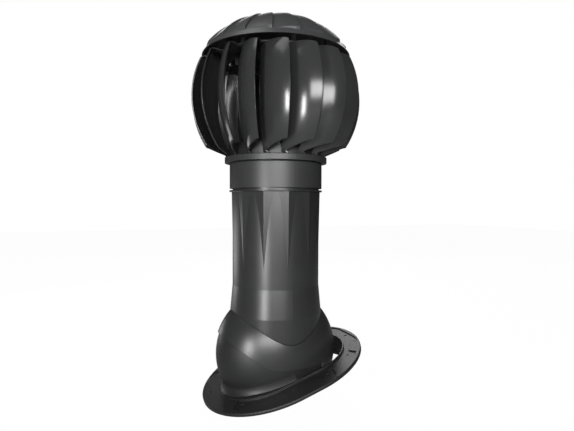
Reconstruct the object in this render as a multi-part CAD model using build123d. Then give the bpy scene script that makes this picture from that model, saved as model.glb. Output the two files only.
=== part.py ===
from build123d import *
import os
from math import cos, radians, sin, sqrt, tan

# Roof turbine ventilator: a wind-driven turbine head on a plumb pipe that swivels on a sloping roof flange.
# Frame: +Z up along the pipe, X along the swivel axis, -Y down the slope, and the origin where the pipe's
# axis meets the plane of the flange's underside. Sizes are in millimetres and degrees.

# --- duct bore ----------------------------------------------------------------------------------------------
pipe_r = 80.0
pipe_wall = 3.0

# --- roof flange -------------------------------------------------------------------------------------------
roof_pitch = 17.5            # slope the flange is drawn at, with the pipe plumb
seat_to_pivot = 39.0         # flange underside to swivel axis, square to the roof
flange_low_margin = 34.0     # flange past the opening's rim line down the slope
flange_high_margin = 31.5
flange_side_margin = 53.0
flange_height = 5.5          # raised margin above the roof
flange_edge_round = 2.0
bay_depth = 2.0              # recess around the screws
bay_strip = 11.0             # width of the recessed strip beside the opening's rim
bay_strip_end = 104.0        # the strip stops this far down the slope
underside_relief = 1.5
margin_wall = 4.0            # solid edge left around the relief
screw_hole_r = 2.5
screw_pad_r = 7.0
side_screws = ((101.0, 71.0, 25.0), (20.0, 104.0, 90.0), (-46.0, 109.0, 100.0), (-105.0, 78.0, 135.0))
low_screw = (134.0, -22.0)   # down the slope, across
high_screw = (-143.0, 5.0)
bay_root = 46.0              # bay width beside the rim
bay_tip = 15.0               # bay width at its outer end
bay_reach = 15.0             # from screw to the bay's outer end
high_bay_width = 100.0

low_gap = 3.5                # hood to the opening's rim line down the slope
high_gap = 11.5              # hood to the rim up the slope
side_gap = 3.7               # the rim's side inside the hood's
rim_wall = 2.5
rim_height = 7.0             # above the flange underside
collar_depth = 22.0          # locating collar below the flange underside
slot_start = 10.0            # the hood's slot starts this far up the slope from the swivel axis

# --- swivel: shells of revolution about the swivel axis ----------------------------------------------------
hood_side = 7.2              # hood past the pipe, along the swivel axis
hood_belly = 35.0            # hood past the pipe, across the swivel axis
shell_wall = 2.5
swivel_gap = 0.4             # between hood and dome
pole_flat = 0.06             # the shells' ends are flattened by this much at the swivel axis
dome_lean = 42.4             # lean of the dome's mouth from the roof's normal, up the slope
dome_mouth = 52.0            # swivel axis to the dome's mouth
dome_flare_height = 14.0     # hollow flare at the dome's foot
dome_flare_clear = 2.0       # flare's end to the hood's rear edge at full tilt
tilt_up_slope = 27.5         # full tilt of the duct towards the ridge, from the resting pitch
hood_edge_drop = 12.3        # swivel axis to the hood's level rear edge
hood_edge_slope = 37.0       # rise of the hood's front edge
hood_edge_corner = 39.3      # where the two edges would meet, down the slope from the axis
hood_edge_round = 73.0
neck_height = 104.0          # swivel axis to the top of the hood's neck
neck_gap = 0.1               # glued fit of the neck in the pipe
pin_r = 6.0
pin_clearance = 0.08
cheek_boss_r = 13.0
cheek_boss_thick = 7.8       # from the dome's outside to the pivot boss's inner face
pin_proud = 0.1              # pins stand this proud of the boss face
clamp_washer_r = 10.0
clamp_washer_thick = 1.6
clamp_screw_r = 2.5
clamp_screw_length = 8.0
clamp_head_r = 4.6
clamp_head_height = 3.2

# --- pipe --------------------------------------------------------------------------------------------------
flare_start = 124.0          # swivel axis to the crease where the pipe's foot starts to flare
flare_end = 74.0
flare_reach = 4.5            # how far the foot stands out past the pipe
scribe_gap = 0.15            # pipe foot to hood
facet_count = 12
facet_turn = 24.6            # one facet ridge's angle from +X
facet_foot = 157.0           # swivel axis to the tips of the facet ridges
lip_top = 296.0              # swivel axis to the top of the stop lip
lip_reach = 5.8
lip_thick = 2.5
spigot_height = 45.0
spigot_chamfer = 1.0

# --- turbine collar, plugged on the pipe -------------------------------------------------------------------
collar_gap = 3.5             # stop lip to collar
collar_wall = 4.8
collar_fit = 0.4             # collar bore to spigot, radial
collar_top = 345.0           # swivel axis to the collar's shoulder
baffle_height = 6.0          # ring that stands inside the rotor ring
baffle_reach = 2.0           # ring's outside past the pipe's
ledge_step = 0.5             # ledge that rests on the spigot, inside the pipe's bore
spoke_count = 4
spoke_width = 5.0
spoke_height = 12.0
boss_r = 16.0
boss_low = 325.0
boss_high = 355.0

# --- axle and bearings -------------------------------------------------------------------------------------
axle_r = 5.0
axle_shoulder_r = 8.0
axle_foot = 311.0
axle_tip = 557.0
bearing_low = 400.0          # swivel axis to the underside of the lower bearing
bearing_high = 535.0
bearing_width = 8.0
bearing_outer_r = 13.0
bearing_ball_r = 2.4
bearing_ball_count = 8
bearing_land = 1.0           # half the gap between the races
ball_clearance = 0.05
spacer_r = 7.0
nut_across = 17.0
nut_height = 8.0
washer_r = 10.0
washer_thick = 1.5

# --- rotor -------------------------------------------------------------------------------------------------
head_r = 155.0               # widest radius, at the vanes' outer edges
head_mid = 460.0             # swivel axis to the widest level
vane_count = 18
vane_turn = 7.0              # one vane edge's angle from +X
vane_thick = 2.0
vane_curl_r = 65.0           # radius the vane curls inward with, seen from above
vane_lean = 20.0             # how far the vane turns in already at its edge
vane_sweep = 22.0            # how far the vane reaches back from its edge
web_sweep = 19.6             # the top web stops short of the next vane
web_bore_r = 95.0
vane_top = 532.0
vane_corner_round = 14.0
vane_shoulder_r = 138.5      # top corner before rounding
vane_shoulder_slope = 67.0
knee = 375.0                 # swivel axis to the vanes' knee
knee_r = 127.0
foot_inset = 1.2             # vane foot inside the ring's edge
foot_height = 4.0            # ring top to the start of the vane's narrow foot
ring_low = 345.8
ring_height = 10.3
ring_width = 9.7
ring_gap = 2.5               # collar's baffle to the rotor ring

crown_r = 112.0
crown_bore_r = 78.0
crown_thick = 3.0
crown_spokes = 6
crown_spoke_width = 4.0
crown_spoke_height = 16.0
hub_r = 17.0
hub_bore_r = 9.5

cap_rim = 538.0              # swivel axis to the cap's rim
cap_rim_r = 135.4
cap_sphere_r = 163.5
cap_wall = 2.5
pleat_turn = 16.3            # one pleat's step at the rim, angle from +X
pleat_rim_r = 129.0
pleat_eye_r = 24.0
pleat_sweep = 26.0           # how far a pleat turns between rim and eye
pleat_shift = 15.0           # sideways shift of each pleat's sphere, which raises one side
pleat_rise = 1.6
pleat_lead = 6.0
cap_boss_r = 5.0
cap_boss_ring_r = 87.0
cap_screw_r = 1.75
cap_screw_depth = 12.0
cap_head_r = 3.5
cap_head_height = 2.2

# --- derived -----------------------------------------------------------------------------------------------
hood_half_width = pipe_r + hood_side
hood_radius = pipe_r + hood_belly
opening_low = hood_radius + low_gap
opening_high = hood_radius + high_gap
opening_half_width = hood_half_width - side_gap
flange_low = opening_low + flange_low_margin
flange_high = opening_high + flange_high_margin
flange_half_width = opening_half_width + flange_side_margin
lip_r = pipe_r + lip_reach
baffle_r = pipe_r + baffle_reach
ring_bore_r = baffle_r + ring_gap
ring_r = ring_bore_r + ring_width
foot_r = ring_r - foot_inset
pivot_height = seat_to_pivot / cos(radians(roof_pitch))
pipe_bore_r = pipe_r - pipe_wall
ledge_bore_r = pipe_bore_r - ledge_step
spigot_top = lip_top + spigot_height
collar_low = lip_top + collar_gap
collar_bore_r = pipe_r + collar_fit
collar_r = collar_bore_r + collar_wall
dome_half_width = hood_half_width - shell_wall - swivel_gap
dome_radius = hood_radius - shell_wall - swivel_gap
cheek_face = dome_half_width - cheek_boss_thick
crown_top = vane_top + crown_thick
bearing_pitch_r = (axle_r + bearing_outer_r) / 2

ROOF = Pos(0, 0, pivot_height) * Rot(roof_pitch, 0, 0) * Pos(0, 0, -seat_to_pivot)
PIPE = Pos(0, 0, pivot_height)


def stadium(low, high, half_width, grow=0.0):
    """Stadium outline, long way up the slope, from -low to +high about the swivel axis."""
    low, high, half_width = low + grow, high + grow, half_width + grow
    return Pos(0, (high - low) / 2) * SlotCenterToCenter(low + high - 2 * half_width, 2 * half_width, rotation=90)


def disc(radius, low, high):
    """Cylinder about Z between two levels."""
    return Pos(0, 0, (low + high) / 2) * Cylinder(radius, high - low)


def tube(outer, inner, low, high):
    return disc(outer, low, high) - disc(inner, low - 1, high + 1)


def upper_half(half_width, radius):
    """Half plane above the swivel axis, stopping just short of the ellipse's ends."""
    return Pos(0, radius / 2) * Rectangle(2 * (half_width - pole_flat), radius)


def swivel_ball(half_width, radius):
    """Solid ellipsoid of revolution about the swivel axis X, centred on it."""
    half = Ellipse(half_width, radius) & upper_half(half_width, radius)
    return revolve(half, Axis.X, 360)


def swivel_shell(half_width, radius):
    """Hollow ellipsoid of revolution about the swivel axis, one shell wall thick."""
    hollow = Ellipse(half_width - shell_wall, radius - shell_wall)
    hollow &= upper_half(half_width - shell_wall, radius)
    ring = (Ellipse(half_width, radius) & upper_half(half_width, radius)) - hollow
    return revolve(ring, Axis.X, 360)


def screw_places():
    """Flange screws as (across, up the slope, outward direction)."""
    for down, across, outward in side_screws:
        for side in (1, -1):
            yield side * across, -down, outward if side > 0 else 180 - outward


def screw_bays():
    """Recessed strip along the rim with one tapering bay around each side screw."""
    strip = stadium(opening_low, opening_high, opening_half_width, rim_wall + bay_strip)
    strip &= Pos(0, (flange_high - bay_strip_end) / 2) * Rectangle(2 * flange_half_width,
                                                                  flange_high + bay_strip_end)
    for across, up, outward in screw_places():
        length = bay_reach + bay_root / 2
        side = (bay_root - bay_tip) / 2
        bay = Polygon((-length, -bay_root / 2), (0, -bay_root / 2 + side), (0, bay_root / 2 - side),
                      (-length, bay_root / 2), align=None)
        strip += Pos(across, up) * Rot(0, 0, outward - 90) * Pos(bay_reach, 0) * bay
    strip += Pos(0, -high_screw[0] - bay_reach / 2) * Rectangle(high_bay_width, 2 * bay_reach)
    return strip & stadium(flange_low, flange_high, flange_half_width, -margin_wall)


def dome_flare():
    """Hollow flare that runs from the dome's side out to the opening's rim."""
    sections = []
    foot_sag = seat_to_pivot - rim_height
    reach = opening_low - sqrt(dome_radius ** 2 - foot_sag ** 2)
    spread = opening_half_width - dome_half_width * sqrt(1 - (foot_sag / dome_radius) ** 2)
    for rise in (0.0, 0.3, 0.6, 1.0):
        level = rim_height + rise * dome_flare_height
        sag = seat_to_pivot - level
        fade = (1 - rise) ** 2
        half_x = dome_half_width * sqrt(1 - (sag / dome_radius) ** 2) + fade * spread - pole_flat
        half_y = sqrt(dome_radius ** 2 - sag ** 2) + fade * reach - pole_flat
        sections.append(Pos(0, 0, level) * Ellipse(half_x, half_y))
    flare = loft(sections)
    turned = radians(roof_pitch + tilt_up_slope)
    edge_sag = seat_to_pivot - rim_height - dome_flare_height
    along_edge = (edge_sag - hood_edge_drop * cos(turned)) / sin(turned)
    stop = along_edge * cos(turned) - hood_edge_drop * sin(turned) - dome_flare_clear
    return flare & Pos(0, stop - flange_low, rim_height) * Box(4 * flange_low, 2 * flange_low, flange_low)


def roof_flange():
    """Flange with its rimmed opening and fixed half-dome, drawn flat on the roof."""
    rim = stadium(opening_low, opening_high, opening_half_width, rim_wall)
    plate = extrude(stadium(flange_low, flange_high, flange_half_width), flange_height)
    top_edges = plate.edges().group_by(Axis.Z)[-1]
    plate = fillet(top_edges, flange_edge_round)
    plate -= Pos(0, 0, flange_height - bay_depth) * extrude(screw_bays() - rim, bay_depth + 1)
    relief = stadium(flange_low, flange_high, flange_half_width, -margin_wall) - rim
    places = [(across, up) for across, up, _ in screw_places()]
    places += [(low_screw[1], -low_screw[0]), (high_screw[1], -high_screw[0])]
    for across, up in places:
        relief -= Pos(across, up) * Circle(screw_pad_r)
    plate -= extrude(relief, underside_relief)
    plate += extrude(rim, rim_height)
    ball = Pos(0, 0, seat_to_pivot) * swivel_ball(dome_half_width, dome_radius)
    above = Pos(0, 0, dome_radius) * Box(400, 400, 2 * dome_radius)
    mouth = Pos(0, 0, seat_to_pivot) * Rot(-dome_lean, 0, 0) * Pos(0, 0, dome_mouth + 100) * Box(400, 400, 200)
    dome = (ball & above) - mouth
    collar = extrude(stadium(opening_low, opening_high, opening_half_width, rim_wall), -collar_depth)
    collar -= extrude(stadium(opening_low, opening_high, opening_half_width), -collar_depth - 1)
    slot = extrude(stadium(opening_low, opening_high, opening_half_width), rim_height + 1)
    slot &= Pos(0, slot_start + 100, 0) * Box(400, 200, 60)
    body = plate - slot + dome + dome_flare() + collar
    body -= Pos(0, 0, seat_to_pivot) * swivel_ball(dome_half_width - shell_wall, dome_radius - shell_wall)
    for side in (1, -1):
        boss = Pos(side * (dome_half_width + cheek_face) / 2, 0, seat_to_pivot) * Rot(0, 90, 0)
        boss *= Cylinder(cheek_boss_r, dome_half_width - cheek_face)
        body += boss & ball
        bore = Pos(side * dome_half_width, 0, seat_to_pivot) * Rot(0, 90, 0)
        body -= bore * Cylinder(pin_r + pin_clearance, 30)
    for across, up in places:
        body -= Pos(across, up) * Cylinder(screw_hole_r, 4 * flange_height)
    return body


def hood_edge_cut():
    """Everything below the hood's lower edge, as a bar along the swivel axis."""
    rise = tan(radians(hood_edge_slope))
    reach = hood_radius + 60
    front_z = -hood_edge_drop + (reach - hood_edge_corner) * rise
    wire = FilletPolyline((reach, -hood_edge_drop), (-hood_edge_corner, -hood_edge_drop), (-reach, front_z),
                          radius=hood_edge_round)
    side = wire + Polyline((-reach, front_z), (-reach, -reach), (reach, -reach), (reach, -hood_edge_drop))
    face = make_face(Plane.YZ * side)
    return Pos(-150, 0, 0) * extrude(face, 300)


def swivel_hood():
    """Hood that turns over the dome, with a neck for the pipe and a pivot pin in each side."""
    neck_r = pipe_bore_r - neck_gap
    shell = swivel_shell(hood_half_width, hood_radius) - hood_edge_cut()
    shell -= disc(neck_r - shell_wall / 2, 0, 2 * hood_radius)
    neck = tube(neck_r, neck_r - shell_wall, neck_height / 3, neck_height)
    shell += neck - swivel_ball(hood_half_width - shell_wall, hood_radius - shell_wall)
    pin_inner = cheek_face - pin_proud
    for side in (1, -1):
        pin = Pos(side * (hood_half_width - shell_wall / 2 + pin_inner) / 2, 0, 0) * Rot(0, 90, 0)
        shell += pin * Cylinder(pin_r, hood_half_width - shell_wall / 2 - pin_inner)
        hole = Pos(side * (pin_inner + clamp_screw_length / 2), 0, 0) * Rot(0, 90, 0)
        shell -= hole * Cylinder(clamp_screw_r, clamp_screw_length)
    return shell


def clamp_washers():
    washer = tube(clamp_washer_r, clamp_screw_r, 0, clamp_washer_thick)
    inner = cheek_face - pin_proud - clamp_washer_thick
    return [Rot(0, 0, 0 if side > 0 else 180) * Pos(inner, 0, 0) * Rot(0, 90, 0) * washer for side in (1, -1)]


def clamp_screws():
    inner = cheek_face - pin_proud - clamp_washer_thick
    shank = disc(clamp_screw_r, 0, clamp_washer_thick + clamp_screw_length)
    head = disc(clamp_head_r, -clamp_head_height, 0) - Pos(0, 0, -clamp_head_height) * extrude(
        RegularPolygon(clamp_head_r / 2, 6), clamp_head_height / 2)
    screw = shank + head
    return [Rot(0, 0, 0 if side > 0 else 180) * Pos(inner, 0, 0) * Rot(0, 90, 0) * screw for side in (1, -1)]


def vent_pipe():
    """Pipe with tapering facets, a stop lip and spigot on top, and a flared foot scribed to the hood."""
    foot_r = pipe_r + flare_reach
    outline = Polyline((foot_r, 0), (foot_r, flare_end), (pipe_r, flare_start), (pipe_r, spigot_top),
                       (0, spigot_top), (0, 0), (foot_r, 0))
    body = revolve(make_face(Plane.XZ * outline), Axis.Z, 360)
    lip_low = lip_top - lip_thick
    ridge_r = pipe_r / cos(radians(180 / facet_count))
    facets = loft([Pos(0, 0, facet_foot) * Rot(0, 0, facet_turn) * RegularPolygon(pipe_r, facet_count),
                   Pos(0, 0, lip_low) * Rot(0, 0, facet_turn) * RegularPolygon(ridge_r, facet_count)])
    body += facets
    body += disc(lip_r, lip_low, lip_top)
    body = chamfer(body.edges().group_by(Axis.Z)[-1], spigot_chamfer)
    body -= disc(pipe_bore_r, -1, spigot_top + 1)
    return body - swivel_ball(hood_half_width + scribe_gap, hood_radius + scribe_gap)


def turbine_collar():
    """Collar that plugs on the spigot and carries the axle on a four-armed spider."""
    body = disc(collar_r, collar_low, collar_top)
    body = fillet(body.edges().group_by(Axis.Z)[-1], 1.5)
    body += disc(baffle_r, collar_top - 2, collar_top + baffle_height)
    body -= disc(collar_bore_r, collar_low - 1, spigot_top)
    body -= disc(ledge_bore_r, spigot_top - 1, collar_top + baffle_height + 1)
    spoke_top = collar_top + baffle_height
    for turn in range(spoke_count):
        arm = Pos(ledge_bore_r / 2 + 0.5, 0, spoke_top - spoke_height / 2) * Box(ledge_bore_r + 1, spoke_width,
                                                                             spoke_height)
        arm &= disc(pipe_bore_r - 0.3, 0, spigot_top) + disc(ledge_bore_r + 1, spigot_top, spoke_top)
        body += Rot(0, 0, 45 + 360 / spoke_count * turn) * arm
    body += disc(boss_r, boss_low, boss_high)
    return body - disc(axle_r, boss_low - 1, boss_high + 1)


def axle():
    body = disc(axle_r, axle_foot, axle_tip) + disc(axle_shoulder_r, boss_high, bearing_low)
    return chamfer(body.edges().group_by(Axis.Z)[0] + body.edges().group_by(Axis.Z)[-1], 1.0)


def hex_nut(low):
    nut = Pos(0, 0, low) * extrude(RegularPolygon(nut_across / 2, 6, major_radius=False), nut_height)
    return nut - disc(axle_r, low - 1, low + nut_height + 1)


def race_groove(minor_r, low):
    return Pos(0, 0, low + bearing_width / 2) * Torus(bearing_pitch_r, minor_r)


def inner_race(low):
    body = tube(bearing_pitch_r - bearing_land, axle_r, low, low + bearing_width)
    return body - race_groove(bearing_ball_r + ball_clearance, low)


def outer_race(low):
    body = tube(bearing_outer_r, bearing_pitch_r + bearing_land, low, low + bearing_width)
    return body - race_groove(bearing_ball_r, low)


def ball_set(low):
    """Balls in their cage."""
    mid = low + bearing_width / 2
    body = tube(bearing_pitch_r + bearing_land / 2, bearing_pitch_r - bearing_land / 2, mid - 1, mid + 1)
    for turn in range(bearing_ball_count):
        body += Rot(0, 0, 360 / bearing_ball_count * turn) * Pos(bearing_pitch_r, 0, mid) * Sphere(bearing_ball_r)
    return body


def vane_bulge(thinner):
    """Ring-shaped solid whose outside is the vane's outside, with the vane's outer edge in the plane y = 0."""
    reach = head_r - vane_curl_r * cos(radians(vane_lean))
    ahead = vane_curl_r * sin(radians(vane_lean))
    return Pos(0, ahead, head_mid) * Rot(90, 0, 0) * Torus(reach, vane_curl_r - thinner)


def vane():
    """One vane: a thin wall that follows the head's round outline at its edge and curls inward behind it.

    The top is closed by a level web, and the bottom narrows along a cone to a foot on the rotor ring.
    """
    ring_top = ring_low + ring_height
    wide = vane_shoulder_r + (vane_top - knee) / tan(radians(vane_shoulder_slope))
    lid = FilletPolyline((ring_bore_r, vane_top), (vane_shoulder_r, vane_top), (wide, knee),
                         radius=vane_corner_round)
    outline = lid + Polyline((wide, knee), (knee_r, knee), (foot_r, ring_top + foot_height), (foot_r, ring_top),
                             (ring_bore_r, ring_top), (ring_bore_r, vane_top))
    bulk = vane_bulge(0) & revolve(make_face(Plane.XZ * outline), Axis.Z, -vane_sweep)
    web = bulk & Pos(0, 0, vane_top) * Box(4 * head_r, 4 * head_r, 2 * vane_thick)
    web_sector = Plane.XZ * Pos(wide / 2, vane_top) * Rectangle(wide, 4 * vane_thick)
    web &= revolve(web_sector, Axis.Z, -web_sweep)
    wall = bulk - vane_bulge(vane_thick) - Rot(0, 0, -web_sweep) * revolve(web_sector, Axis.Z, -vane_sweep)
    return wall + (web - disc(web_bore_r, knee, vane_top + 1))


def rotor_ring():
    ring_top = ring_low + ring_height
    body = tube(ring_r, ring_bore_r, ring_low, ring_top)
    body = chamfer(body.edges().filter_by(GeomType.CIRCLE).group_by(Axis.Z)[-1].sort_by(SortBy.RADIUS)[-1], 0.8)
    return body


def crown_hub():
    """Spoked crown that joins the vane tops, with the bearing tube below its middle."""
    body = tube(crown_r, crown_bore_r, vane_top, crown_top)
    hub_top = bearing_high + bearing_width
    for turn in range(crown_spokes):
        arm = Pos((crown_bore_r + 4) / 2, 0, crown_top - crown_spoke_height / 2) * Box(
            crown_bore_r + 4, crown_spoke_width, crown_spoke_height)
        arm &= disc(crown_bore_r, 0, vane_top) + disc(crown_bore_r + 4, vane_top, crown_top)
        body += Rot(0, 0, 30 + 360 / crown_spokes * turn) * arm
    body += disc(hub_r, bearing_low, hub_top)
    body -= disc(hub_bore_r, bearing_low - 1, hub_top + 1)
    body -= disc(bearing_outer_r, bearing_low - 1, bearing_low + bearing_width)
    body -= disc(bearing_outer_r, bearing_high, hub_top + 1)
    for turn in range(crown_spokes):
        place = Rot(0, 0, 360 / crown_spokes * turn) * Pos(cap_boss_ring_r, 0, vane_top)
        body -= place * Cylinder(cap_screw_r, 20)
    return body


def cap_center():
    return cap_rim - sqrt(cap_sphere_r ** 2 - cap_rim_r ** 2)


def pleat_edge(angle):
    """Plan arc of one pleat step, from the rim in to the eye."""
    start = Vector(pleat_rim_r + 1, 0).rotate(Axis.Z, angle)
    end = Vector(pleat_eye_r, 0).rotate(Axis.Z, angle - pleat_sweep)
    heading = Vector(-1, 0).rotate(Axis.Z, angle)
    return TangentArc(start, end, tangent=heading)


def pleat():
    """One petal of the cap: a ball shifted sideways, cut to the plan between two step lines."""
    pitch = 360 / vane_count
    first, second = pleat_edge(0), pleat_edge(-pitch)
    plan = make_face(first + Line(first @ 1, second @ 1) + second + Line(second @ 0, first @ 0))
    plan &= Circle(pleat_rim_r)
    column = Pos(0, 0, cap_rim) * extrude(plan, cap_sphere_r)
    shift = Rot(0, 0, -pitch / 2 - pleat_lead) * Pos(0, pleat_shift, cap_center() + pleat_rise)
    return column & shift * Sphere(cap_sphere_r)


def top_cap():
    """Domed cap with spiral pleats on its outside."""
    dome = Pos(0, 0, cap_center()) * Sphere(cap_sphere_r)
    dome &= disc(cap_sphere_r, cap_rim, cap_rim + cap_sphere_r)
    for turn in range(vane_count):
        dome += Rot(0, 0, pleat_turn + 360 / vane_count * turn) * pleat()
    hollow = Pos(0, 0, cap_center()) * Sphere(cap_sphere_r - cap_wall)
    dome -= hollow & disc(cap_sphere_r, cap_rim - 1, cap_rim + cap_sphere_r)
    boss_top = cap_center() + sqrt((cap_sphere_r - cap_wall / 2) ** 2 - cap_boss_ring_r ** 2)
    for turn in range(crown_spokes):
        place = Rot(0, 0, 360 / crown_spokes * turn) * Pos(cap_boss_ring_r, 0, 0)
        dome += place * (disc(cap_boss_r, crown_top, boss_top - 3))
        dome -= place * disc(cap_screw_r, crown_top - 1, crown_top + cap_screw_depth)
    return dome


def cap_screws():
    screw = disc(cap_screw_r, vane_top, crown_top + cap_screw_depth)
    screw += disc(cap_head_r, vane_top - cap_head_height, vane_top)
    return [Rot(0, 0, 360 / crown_spokes * turn) * Pos(cap_boss_ring_r, 0, 0) * screw
            for turn in range(crown_spokes)]


def save(name, shape, place=PIPE):
    """Write one node; a list becomes a group of separate solids."""
    if isinstance(shape, list):
        shape = Compound(children=[place * piece for piece in shape])
    else:
        shape = place * shape
    export_step(shape, f"parts/{name}.step")


save("roof_flange", roof_flange(), ROOF)
save("swivel_hood", swivel_hood())
save("clamp_washers", clamp_washers())
save("clamp_screws", clamp_screws())
save("vent_pipe", vent_pipe())
save("turbine_collar", turbine_collar())
save("axle", axle())
save("axle_nut_lower", hex_nut(boss_low - nut_height))
save("bearing_lower_inner", inner_race(bearing_low))
save("bearing_lower_balls", ball_set(bearing_low))
save("bearing_lower_outer", outer_race(bearing_low))
save("bearing_spacer", tube(spacer_r, axle_r, bearing_low + bearing_width, bearing_high))
save("bearing_upper_inner", inner_race(bearing_high))
save("bearing_upper_balls", ball_set(bearing_high))
save("bearing_upper_outer", outer_race(bearing_high))
washer_low = bearing_high + bearing_width
save("axle_washer", tube(washer_r, axle_r, washer_low, washer_low + washer_thick))
save("axle_nut_upper", hex_nut(washer_low + washer_thick))
save("rotor_ring", rotor_ring())
blade = vane()
for number in range(vane_count):
    save(f"vane_{number + 1:02d}", Rot(0, 0, vane_turn + 360 / vane_count * number) * blade)
save("crown_hub", crown_hub())
save("top_cap", top_cap())
save("cap_screws", cap_screws())
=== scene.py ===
"""Roof turbine ventilator in graphite plastic, dressed and lit for a studio picture."""

import logging
import math
from dataclasses import dataclass, field
from enum import Enum

import bmesh
import bpy
from mathutils import Matrix, Vector


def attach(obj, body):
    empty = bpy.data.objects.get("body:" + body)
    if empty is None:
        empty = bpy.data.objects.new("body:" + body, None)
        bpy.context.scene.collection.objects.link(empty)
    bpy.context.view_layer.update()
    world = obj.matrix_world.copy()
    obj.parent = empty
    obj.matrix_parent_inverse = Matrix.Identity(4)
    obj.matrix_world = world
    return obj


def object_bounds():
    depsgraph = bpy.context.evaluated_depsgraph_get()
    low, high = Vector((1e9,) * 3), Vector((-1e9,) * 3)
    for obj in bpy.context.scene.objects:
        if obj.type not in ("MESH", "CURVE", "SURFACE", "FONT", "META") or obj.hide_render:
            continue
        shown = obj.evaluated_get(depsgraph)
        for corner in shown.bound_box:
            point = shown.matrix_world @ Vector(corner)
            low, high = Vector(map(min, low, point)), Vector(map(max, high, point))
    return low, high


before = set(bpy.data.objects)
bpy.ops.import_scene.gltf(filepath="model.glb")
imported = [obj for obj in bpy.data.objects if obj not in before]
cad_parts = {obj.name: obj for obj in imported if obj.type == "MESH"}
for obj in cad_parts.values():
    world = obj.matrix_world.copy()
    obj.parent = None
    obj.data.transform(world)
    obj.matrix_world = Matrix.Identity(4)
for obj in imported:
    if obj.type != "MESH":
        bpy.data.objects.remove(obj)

CAD_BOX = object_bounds()
LOG = logging.getLogger("ventilator")
MM = 0.001
PIVOT_HEIGHT = 40.893 * MM      # origin to the swivel axis
SEAT_TO_PIVOT = 39.0 * MM       # flange underside to the swivel axis, square to the roof
ROOF_PITCH = math.radians(17.5)
SHARP_ANGLE = math.radians(35)  # made pieces shade smooth below this and sharp above it


class Side(Enum):
    """Which side of the camera's line a lamp stands on."""

    LEFT = -1
    RIGHT = 1


# ------------------------------------------------------------------ finishes

class NodeBoard:
    """Small helper that adds and links nodes in one node tree."""

    def __init__(self, tree: bpy.types.NodeTree) -> None:
        """Keep the tree.

        Args:
            tree: The node tree to build in.
        """
        self.tree = tree

    def add(self, kind: str, **values: object) -> bpy.types.Node:
        """Add a node and set its properties.

        Args:
            kind: The node's type name.
            **values: Properties of the node.

        Returns:
            The new node.
        """
        node = self.tree.nodes.new(kind)
        for name, value in values.items():
            setattr(node, name, value)
        return node

    def link(self, source: bpy.types.NodeSocket, target: bpy.types.NodeSocket) -> None:
        """Link two sockets."""
        self.tree.links.new(source, target)


def new_group(name: str, inputs: dict[str, float], outputs: dict[str, str]
              ) -> tuple[bpy.types.NodeTree, NodeBoard, bpy.types.Node, bpy.types.Node]:
    """Start a shader node group with float inputs.

    Args:
        name: The group's name.
        inputs: Input names and their default values.
        outputs: Output names and their socket types.

    Returns:
        The group, its board, its input node and its output node.
    """
    tree = bpy.data.node_groups.new(name, "ShaderNodeTree")
    for label, value in inputs.items():
        socket = tree.interface.new_socket(name=label, in_out="INPUT", socket_type="NodeSocketFloat")
        socket.default_value = value
    for label, kind in outputs.items():
        tree.interface.new_socket(name=label, in_out="OUTPUT", socket_type=kind)
    board = NodeBoard(tree)
    return tree, board, board.add("NodeGroupInput"), board.add("NodeGroupOutput")


def moulding_grain() -> bpy.types.NodeTree:
    """Fine surface of a moulded plastic: faint waviness, grain and handling marks.

    Returns:
        The group, with roughness, tint mask and surface height outputs.
    """
    tree, board, given, out = new_group(
        "moulding_grain",
        {"Roughness": 0.3, "Variation": 0.06, "Grain Size": 900.0, "Wave Size": 14.0, "Marks": 0.03},
        {"Roughness": "NodeSocketFloat", "Tint": "NodeSocketFloat", "Height": "NodeSocketFloat"})
    place = board.add("ShaderNodeTexCoord").outputs["Object"]
    grain = board.add("ShaderNodeTexNoise")
    board.link(place, grain.inputs["Vector"])
    board.link(given.outputs["Grain Size"], grain.inputs["Scale"])
    grain.inputs["Detail"].default_value = 3.0
    wave = board.add("ShaderNodeTexNoise")
    board.link(place, wave.inputs["Vector"])
    board.link(given.outputs["Wave Size"], wave.inputs["Scale"])
    wave.inputs["Detail"].default_value = 2.0
    marks = board.add("ShaderNodeTexNoise")
    stretch = board.add("ShaderNodeMapping")
    stretch.inputs["Scale"].default_value = (90.0, 90.0, 9.0)
    board.link(place, stretch.inputs["Vector"])
    board.link(stretch.outputs["Vector"], marks.inputs["Vector"])
    marks.inputs["Scale"].default_value = 1.0
    marks.inputs["Detail"].default_value = 6.0
    centred = board.add("ShaderNodeMath", operation="SUBTRACT")
    board.link(wave.outputs["Fac"], centred.inputs[0])
    centred.inputs[1].default_value = 0.5
    swing = board.add("ShaderNodeMath", operation="MULTIPLY_ADD")
    board.link(centred.outputs[0], swing.inputs[0])
    board.link(given.outputs["Variation"], swing.inputs[1])
    board.link(given.outputs["Roughness"], swing.inputs[2])
    rub = board.add("ShaderNodeMapRange")
    rub.inputs["From Min"].default_value = 0.56
    rub.inputs["From Max"].default_value = 0.75
    board.link(marks.outputs["Fac"], rub.inputs["Value"])
    scuff = board.add("ShaderNodeMath", operation="MULTIPLY_ADD")
    board.link(rub.outputs["Result"], scuff.inputs[0])
    board.link(given.outputs["Marks"], scuff.inputs[1])
    board.link(swing.outputs[0], scuff.inputs[2])
    height = board.add("ShaderNodeMath", operation="MULTIPLY_ADD")
    board.link(wave.outputs["Fac"], height.inputs[0])
    height.inputs[1].default_value = 0.35
    board.link(grain.outputs["Fac"], height.inputs[2])
    board.link(scuff.outputs[0], out.inputs["Roughness"])
    board.link(wave.outputs["Fac"], out.inputs["Tint"])
    board.link(height.outputs[0], out.inputs["Height"])
    return tree


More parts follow.
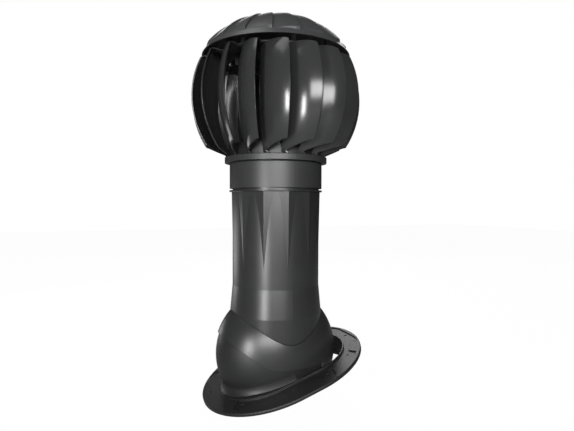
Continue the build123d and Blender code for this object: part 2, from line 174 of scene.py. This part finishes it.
@dataclass(frozen=True)
class Plastic:
    """A dark moulded plastic with a set gloss."""

    name: str
    low: tuple[float, float, float] = (0.022, 0.0223, 0.023)
    high: tuple[float, float, float] = (0.029, 0.0293, 0.03)
    roughness: float = 0.28
    variation: float = 0.06
    grain_size: float = 900.0
    wave_size: float = 14.0
    marks: float = 0.04
    bump: float = 0.04
    specular: float = 0.5
    edge_radius: float = 0.7 * MM

    def make(self, grain: bpy.types.NodeTree) -> bpy.types.Material:
        """Build the material.

        Args:
            grain: The shared moulding grain group.

        Returns:
            The new material.
        """
        material = bpy.data.materials.new(self.name)
        material.use_nodes = True
        board = NodeBoard(material.node_tree)
        shader = material.node_tree.nodes["Principled BSDF"]
        group = board.add("ShaderNodeGroup", node_tree=grain)
        group.inputs["Roughness"].default_value = self.roughness
        group.inputs["Variation"].default_value = self.variation
        group.inputs["Grain Size"].default_value = self.grain_size
        group.inputs["Wave Size"].default_value = self.wave_size
        group.inputs["Marks"].default_value = self.marks
        tint = board.add("ShaderNodeMix", data_type="RGBA")
        tint.inputs["A"].default_value = (*self.low, 1.0)
        tint.inputs["B"].default_value = (*self.high, 1.0)
        board.link(group.outputs["Tint"], tint.inputs["Factor"])
        board.link(tint.outputs["Result"], shader.inputs["Base Color"])
        board.link(group.outputs["Roughness"], shader.inputs["Roughness"])
        corner = board.add("ShaderNodeBevel", samples=6)
        corner.inputs["Radius"].default_value = self.edge_radius
        bump = board.add("ShaderNodeBump")
        board.link(corner.outputs["Normal"], bump.inputs["Normal"])
        bump.inputs["Strength"].default_value = self.bump
        bump.inputs["Distance"].default_value = 0.2 * MM
        board.link(group.outputs["Height"], bump.inputs["Height"])
        board.link(bump.outputs["Normal"], shader.inputs["Normal"])
        shader.inputs["Specular IOR Level"].default_value = self.specular
        shader.inputs["IOR"].default_value = 1.5
        return material


@dataclass(frozen=True)
class Metal:
    """A plated or ground metal with fine turning lines."""

    name: str
    color: tuple[float, float, float] = (0.62, 0.62, 0.6)
    roughness: float = 0.3
    line_size: float = 1400.0

    def make(self) -> bpy.types.Material:
        """Build the material.

        Returns:
            The new material.
        """
        material = bpy.data.materials.new(self.name)
        material.use_nodes = True
        board = NodeBoard(material.node_tree)
        shader = material.node_tree.nodes["Principled BSDF"]
        place = board.add("ShaderNodeTexCoord").outputs["Object"]
        lines = board.add("ShaderNodeTexWave", wave_type="BANDS", bands_direction="Z")
        lines.inputs["Scale"].default_value = self.line_size
        lines.inputs["Distortion"].default_value = 1.5
        board.link(place, lines.inputs["Vector"])
        spots = board.add("ShaderNodeTexNoise")
        spots.inputs["Scale"].default_value = 120.0
        spots.inputs["Detail"].default_value = 5.0
        board.link(place, spots.inputs["Vector"])
        gloss = board.add("ShaderNodeMapRange")
        gloss.inputs["To Min"].default_value = self.roughness - 0.06
        gloss.inputs["To Max"].default_value = self.roughness + 0.12
        board.link(spots.outputs["Fac"], gloss.inputs["Value"])
        board.link(gloss.outputs["Result"], shader.inputs["Roughness"])
        tint = board.add("ShaderNodeMix", data_type="RGBA")
        tint.inputs["A"].default_value = (*(0.8 * c for c in self.color), 1.0)
        tint.inputs["B"].default_value = (*self.color, 1.0)
        board.link(spots.outputs["Fac"], tint.inputs["Factor"])
        board.link(tint.outputs["Result"], shader.inputs["Base Color"])
        bump = board.add("ShaderNodeBump")
        bump.inputs["Strength"].default_value = 0.08
        bump.inputs["Distance"].default_value = 0.1 * MM
        board.link(lines.outputs["Fac"], bump.inputs["Height"])
        board.link(bump.outputs["Normal"], shader.inputs["Normal"])
        shader.inputs["Metallic"].default_value = 1.0
        return material


class Finish(Enum):
    """The finishes that the pieces choose from."""

    GLOSS = "graphite_gloss"
    # A darker, rougher copy of the same graphite plastic: painted shade.
    PAINTED_SHADE = "graphite_painted_shade"
    CAP = "graphite_cap"
    VANE = "graphite_vane"
    SATIN = "graphite_satin"
    STEEL = "plated_steel"
    GROUND = "ground_steel"


class Paintshop:
    """Makes each finish once and gives it to pieces."""

    def __init__(self) -> None:
        """Build all the materials."""
        grain = moulding_grain()
        self.materials: dict[Finish, bpy.types.Material] = {
            Finish.GLOSS: Plastic(Finish.GLOSS.value, low=(0.017, 0.0172, 0.0178), high=(0.022, 0.0223, 0.023),
                                  roughness=0.33, edge_radius=1.0 * MM).make(grain),
            # Painted shade: a darker, rougher copy of the graphite plastic, so the dome reads darker below the
            # hood's lower edge and the parts inside the head read dark.
            Finish.PAINTED_SHADE: Plastic(Finish.PAINTED_SHADE.value, low=(0.008, 0.0081, 0.0084), high=(0.012, 0.0122, 0.0126),
                                 roughness=0.45, edge_radius=1.2 * MM).make(grain),
            Finish.CAP: Plastic(Finish.CAP.value, low=(0.036, 0.0365, 0.0375), high=(0.044, 0.0446, 0.046),
                                roughness=0.34).make(grain),
            Finish.VANE: Plastic(Finish.VANE.value, roughness=0.2, variation=0.05, bump=0.03).make(grain),
            Finish.SATIN: Plastic(Finish.SATIN.value, roughness=0.42, bump=0.06).make(grain),
            Finish.STEEL: Metal(Finish.STEEL.value).make(),
            Finish.GROUND: Metal(Finish.GROUND.value, color=(0.72, 0.72, 0.72), roughness=0.18).make(),
        }

    def dress(self, piece: bpy.types.Object, finish: Finish) -> None:
        """Give one piece a finish.

        Args:
            piece: The object to dress.
            finish: Which finish it takes.
        """
        if not piece.material_slots:
            piece.data.materials.append(self.materials[finish])
        for place in piece.material_slots:
            place.material = self.materials[finish]


# ------------------------------------------------------------------ sub-assemblies

def new_piece(name: str, shape: bmesh.types.BMesh) -> bpy.types.Object:
    """Turn a finished bmesh into an object.

    Args:
        name: The piece's name.
        shape: Its mesh, which is used up.

    Returns:
        The new object.
    """
    for face in shape.faces:
        face.smooth = True
    mesh = bpy.data.meshes.new(name)
    shape.to_mesh(mesh)
    shape.free()
    mesh.set_sharp_from_angle(angle=SHARP_ANGLE)
    piece = bpy.data.objects.new(name, mesh)
    bpy.context.scene.collection.objects.link(piece)
    return piece


@dataclass
class Dressing:
    """CAD pieces that keep their own shape and get a finish."""

    nodes: tuple[str, ...]
    finish: Finish

    def build(self, shop: Paintshop) -> None:
        """Dress every piece of the set.

        Args:
            shop: Where the finishes come from.
        """
        for name in self.nodes:
            shop.dress(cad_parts[name], self.finish)
            LOG.info("dressed %s", name)


def face_away(shape: bmesh.types.BMesh, middle: Vector) -> None:
    """Turn every face of an open shell away from a point.

    Args:
        shape: The shell.
        middle: The point inside it.
    """
    shape.normal_update()
    turned = [face for face in shape.faces if face.normal.dot(face.calc_center_median() - middle) < 0]
    bmesh.ops.reverse_faces(shape, faces=turned)


@dataclass
class CollarShadeLiner:
    """Dark lip that carries the opening's collar further down at its ridge end, under the roof; painted shade,
    standing in for the shaded roof void seen through the slot behind the hood.
    """

    radius: float = 86.0 * MM
    arc_centre: float = 43.0 * MM
    half_length: float = 60.0 * MM
    wall: float = 2.4 * MM
    top: float = -21.0 * MM
    bottom: float = -38.0 * MM
    steps: int = 160

    def build(self, shop: Paintshop) -> None:
        """Make the lip and let it ride on the roof flange.

        Args:
            shop: Where the finish comes from.
        """
        shape = bmesh.new()
        bmesh.ops.create_circle(shape, segments=self.steps, radius=self.radius)
        chord = math.sqrt(self.radius ** 2 - self.half_length ** 2)
        bmesh.ops.delete(shape, geom=[vert for vert in shape.verts if vert.co.y < chord], context="VERTS")
        bmesh.ops.translate(shape, verts=shape.verts, vec=(0, self.arc_centre, self.top))
        down = bmesh.ops.extrude_edge_only(shape, edges=shape.edges[:])
        low = [item for item in down["geom"] if isinstance(item, bmesh.types.BMVert)]
        bmesh.ops.translate(shape, verts=low, vec=(0, 0, self.bottom - self.top))
        face_away(shape, Vector((0, self.arc_centre, self.top)))
        bmesh.ops.solidify(shape, geom=shape.faces[:], thickness=self.wall)
        bmesh.ops.recalc_face_normals(shape, faces=shape.faces)
        place = (Matrix.Translation((0, 0, PIVOT_HEIGHT)) @ Matrix.Rotation(ROOF_PITCH, 4, "X")
                 @ Matrix.Translation((0, 0, -SEAT_TO_PIVOT)))
        bmesh.ops.transform(shape, matrix=place, verts=shape.verts)
        piece = new_piece("collar_shade_liner", shape)
        # Painted shade: the lip is dark and fills the slot's line of sight where the roof void would be in
        # shade.
        shop.dress(piece, Finish.PAINTED_SHADE)
        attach(piece, "roof_base")
        LOG.info("made %s", piece.name)


@dataclass
class HoodRearSkirt:
    """Skirt that carries the hood's shell further round under its level rear edge."""

    half_width: float = 87.1 * MM
    radius: float = 114.95 * MM
    wall: float = 2.4 * MM
    end_angle: float = math.radians(35.0)
    first: float = math.radians(-3.0)
    sweep: float = math.radians(-27.0)
    hood_edge: float = -12.3 * MM
    steps_round: int = 144
    steps_along: int = 14

    def build(self, shop: Paintshop) -> None:
        """Make the skirt and let it turn with the hood.

        Args:
            shop: Where the finish comes from.
        """
        shape = bmesh.new()
        bmesh.ops.create_circle(shape, segments=self.steps_round, radius=1.0)
        short = [vert for vert in shape.verts if vert.co.y < math.sin(self.end_angle)]
        bmesh.ops.delete(shape, geom=short, context="VERTS")
        bmesh.ops.scale(shape, verts=shape.verts, vec=(self.half_width, self.radius, 1.0))
        bmesh.ops.rotate(shape, verts=shape.verts, cent=(0, 0, 0), matrix=Matrix.Rotation(self.first, 3, "X"))
        bmesh.ops.spin(shape, geom=shape.verts[:] + shape.edges[:], axis=(1, 0, 0), cent=(0, 0, 0),
                       angle=self.sweep, steps=self.steps_along)
        bmesh.ops.bisect_plane(shape, geom=shape.verts[:] + shape.edges[:] + shape.faces[:],
                               plane_co=(0, 0, self.hood_edge), plane_no=(0, 0, 1), clear_outer=True)
        face_away(shape, Vector((0, 0, 0)))
        bmesh.ops.solidify(shape, geom=shape.faces[:], thickness=self.wall)
        bmesh.ops.recalc_face_normals(shape, faces=shape.faces)
        bmesh.ops.translate(shape, verts=shape.verts, vec=(0, 0, PIVOT_HEIGHT))
        piece = new_piece("hood_rear_skirt", shape)
        shop.dress(piece, Finish.GLOSS)
        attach(piece, "duct_stack")
        LOG.info("made %s", piece.name)


@dataclass
class RingLip:
    """Upstanding lip on the rotor ring, inside the feet of the vanes."""

    inner: float = 84.7 * MM
    outer: float = 86.7 * MM
    low: float = 396.5 * MM
    high: float = 419.0 * MM
    steps: int = 128

    def build(self, shop: Paintshop) -> None:
        """Make the lip and let it turn with the rotor.

        Args:
            shop: Where the finish comes from.
        """
        shape = bmesh.new()
        corners = [shape.verts.new((x, 0, z)) for x, z in (
            (self.inner, self.low), (self.outer, self.low), (self.outer, self.high), (self.inner, self.high))]
        for first, second in zip(corners, corners[1:] + corners[:1]):
            shape.edges.new((first, second))
        bmesh.ops.spin(shape, geom=shape.verts[:] + shape.edges[:], axis=(0, 0, 1), cent=(0, 0, 0),
                       angle=2 * math.pi, steps=self.steps, use_merge=True)
        bmesh.ops.remove_doubles(shape, verts=shape.verts, dist=0.01 * MM)
        bmesh.ops.recalc_face_normals(shape, faces=shape.faces)
        piece = new_piece("ring_lip", shape)
        # Painted shade: the lip takes the darker copy of the plastic, so it reads dark inside the feet of the
        # vanes.
        shop.dress(piece, Finish.PAINTED_SHADE)
        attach(piece, "rotor")
        LOG.info("made %s", piece.name)


# ------------------------------------------------------------------ studio

@dataclass
class Softbox:
    """A rectangular lamp aimed at the object."""

    name: str
    side: Side
    turn: float
    lift: float
    reach: float
    width: float
    height: float
    glow: float

    def build(self, studio: "Studio") -> None:
        """Place the lamp round the object.

        Args:
            studio: Gives the object's middle and the camera's heading.
        """
        light = bpy.data.lights.new(self.name, "AREA")
        light.shape = "RECTANGLE"
        light.size = self.width
        light.size_y = self.height
        light.energy = self.glow * math.pi * self.width * self.height
        lamp = bpy.data.objects.new(self.name, light)
        heading = studio.heading + math.radians(self.side.value * self.turn)
        rise = math.radians(self.lift)
        offset = Vector((math.cos(heading) * math.cos(rise), math.sin(heading) * math.cos(rise), math.sin(rise)))
        lamp.location = studio.middle + offset * self.reach
        lamp.rotation_euler = (-offset).to_track_quat("-Z", "Y").to_euler()
        bpy.context.scene.collection.objects.link(lamp)


@dataclass
class Studio:
    """Camera, lamps, world and floor."""

    eye: Vector = field(default_factory=lambda: Vector((0.7790, -0.2998, 0.3112)))
    look: Vector = field(default_factory=lambda: Vector((-0.9236, 0.3826, -0.0245)))
    roll: float = 0.0028
    lens: float = 28.008
    middle: Vector = field(default_factory=lambda: Vector((0.0, 0.0, 0.33)))
    floor_drop: float = 0.004
    floor_size: float = 12.0
    floor_grey: float = 0.3
    floor_roughness: float = 0.8
    floor_glow: float = 1.085
    floor_share: float = 0.9        # how much of what the camera sees of the floor is glow
    sensor: float = 36.0
    room_strength: float = 0.09
    room_dark: float = 0.05         # grey of the room below and its height on the ramp
    room_dark_at: float = 0.35
    room_light: float = 0.8         # grey of the room above and its height on the ramp
    room_light_at: float = 0.9
    clip_start: float = 0.01

    @property
    def heading(self) -> float:
        """Direction from the object's middle to the camera, seen from above, in radians."""
        return math.atan2(self.eye.y - self.middle.y, self.eye.x - self.middle.x)

    def build(self) -> None:
        """Set up everything that lights and frames the object."""
        self.camera()
        self.world()
        self.floor()
        for box in (
            Softbox("window", Side.RIGHT, turn=8, lift=11, reach=2.6, width=1.7, height=0.75, glow=17),
            Softbox("strip_left", Side.LEFT, turn=27, lift=-5, reach=1.8, width=0.3, height=0.75, glow=38),
            Softbox("panel_left", Side.LEFT, turn=128, lift=-9, reach=1.5, width=0.7, height=0.3, glow=2.4),
            Softbox("fill_back", Side.RIGHT, turn=176, lift=30, reach=2.4, width=1.8, height=1.0, glow=4.0),
            Softbox("overhead", Side.LEFT, turn=70, lift=66, reach=2.2, width=1.3, height=1.3, glow=2.0),
        ):
            box.build(self)
        bpy.context.scene.view_settings.view_transform = "Standard"

    def camera(self) -> None:
        """Place the camera."""
        data = bpy.data.cameras.new("camera")
        data.lens = self.lens
        data.sensor_width = self.sensor
        data.clip_start = self.clip_start
        camera = bpy.data.objects.new("camera", data)
        turn = self.look.to_track_quat("-Z", "Y").to_matrix().to_4x4()
        camera.matrix_world = Matrix.Translation(self.eye) @ turn @ Matrix.Rotation(self.roll, 4, "Z")
        bpy.context.scene.collection.objects.link(camera)
        bpy.context.scene.camera = camera

    def world(self) -> None:
        """White behind the object, and a soft grey room for its reflections."""
        world = bpy.data.worlds.new("studio")
        world.use_nodes = True
        bpy.context.scene.world = world
        board = NodeBoard(world.node_tree)
        room = world.node_tree.nodes["Background"]
        out = world.node_tree.nodes["World Output"]
        place = board.add("ShaderNodeTexCoord")
        split = board.add("ShaderNodeSeparateXYZ")
        board.link(place.outputs["Generated"], split.inputs[0])
        ramp = board.add("ShaderNodeValToRGB")
        ramp.color_ramp.elements[0].position = self.room_dark_at
        ramp.color_ramp.elements[0].color = (self.room_dark, self.room_dark, self.room_dark, 1)
        ramp.color_ramp.elements[1].position = self.room_light_at
        ramp.color_ramp.elements[1].color = (self.room_light, self.room_light, self.room_light, 1)
        lift = board.add("ShaderNodeMapRange")
        lift.inputs["From Min"].default_value = -1.0
        board.link(split.outputs["Z"], lift.inputs["Value"])
        board.link(lift.outputs["Result"], ramp.inputs["Fac"])
        board.link(ramp.outputs["Color"], room.inputs["Color"])
        room.inputs["Strength"].default_value = self.room_strength
        white = board.add("ShaderNodeBackground")
        white.inputs["Color"].default_value = (1.0, 1.0, 1.0, 1.0)
        white.inputs["Strength"].default_value = 1.0
        path = board.add("ShaderNodeLightPath")
        mix = board.add("ShaderNodeMixShader")
        board.link(path.outputs["Is Camera Ray"], mix.inputs["Fac"])
        board.link(room.outputs[0], mix.inputs[1])
        board.link(white.outputs[0], mix.inputs[2])
        board.link(mix.outputs[0], out.inputs["Surface"])

    def floor(self) -> None:
        """A pale floor just under the lowest point of the object."""
        mesh = bpy.data.meshes.new("floor")
        shape = bmesh.new()
        bmesh.ops.create_grid(shape, x_segments=1, y_segments=1, size=self.floor_size / 2)
        bmesh.ops.translate(shape, verts=shape.verts, vec=(0, 0, CAD_BOX[0][2] - self.floor_drop))
        shape.to_mesh(mesh)
        shape.free()
        floor = bpy.data.objects.new("floor", mesh)
        bpy.context.scene.collection.objects.link(floor)
        material = bpy.data.materials.new("pale_floor")
        material.use_nodes = True
        board = NodeBoard(material.node_tree)
        shader = material.node_tree.nodes["Principled BSDF"]
        shader.inputs["Base Color"].default_value = (self.floor_grey, self.floor_grey, self.floor_grey, 1)
        shader.inputs["Roughness"].default_value = self.floor_roughness
        glow = board.add("ShaderNodeEmission")
        glow.inputs["Color"].default_value = (1.0, 1.0, 1.0, 1.0)
        glow.inputs["Strength"].default_value = self.floor_glow
        path = board.add("ShaderNodeLightPath")
        share = board.add("ShaderNodeMath", operation="MULTIPLY")
        share.inputs[1].default_value = self.floor_share
        board.link(path.outputs["Is Camera Ray"], share.inputs[0])
        mix = board.add("ShaderNodeMixShader")
        board.link(share.outputs[0], mix.inputs["Fac"])
        board.link(shader.outputs[0], mix.inputs[1])
        board.link(glow.outputs[0], mix.inputs[2])
        board.link(mix.outputs[0], material.node_tree.nodes["Material Output"].inputs["Surface"])
        floor.data.materials.append(material)


def main() -> None:
    """Dress the ventilator and light it."""
    logging.basicConfig(level=logging.INFO, format="%(name)s: %(message)s")
    shop = Paintshop()
    vanes = tuple(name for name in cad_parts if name.startswith("vane_"))
    sets = (
        # Painted shade: the flange and its dome take the darker copy, so they read darker below the hood's lower
        # edge.
        Dressing(("roof_flange",), Finish.PAINTED_SHADE),
        Dressing(("swivel_hood", "vent_pipe"), Finish.GLOSS),
        Dressing(("turbine_collar", "rotor_ring"), Finish.SATIN),
        Dressing(vanes, Finish.VANE),
        Dressing(("top_cap",), Finish.CAP),
        # Painted shade: the crown hub takes the darker copy, so the gaps between the vanes read dark.
        Dressing(("crown_hub",), Finish.PAINTED_SHADE),
        Dressing(("axle", "axle_nut_lower", "axle_nut_upper", "axle_washer", "bearing_spacer", "cap_screws",
                  "clamp_washers", "clamp_screws"), Finish.STEEL),
        Dressing(("bearing_lower_inner", "bearing_lower_balls", "bearing_lower_outer", "bearing_upper_inner",
                  "bearing_upper_balls", "bearing_upper_outer"), Finish.GROUND),
    )
    for dressing in sets:
        dressing.build(shop)
    CollarShadeLiner().build(shop)
    HoodRearSkirt().build(shop)
    RingLip().build(shop)
    Studio().build()


if __name__ == "__main__":
    main()
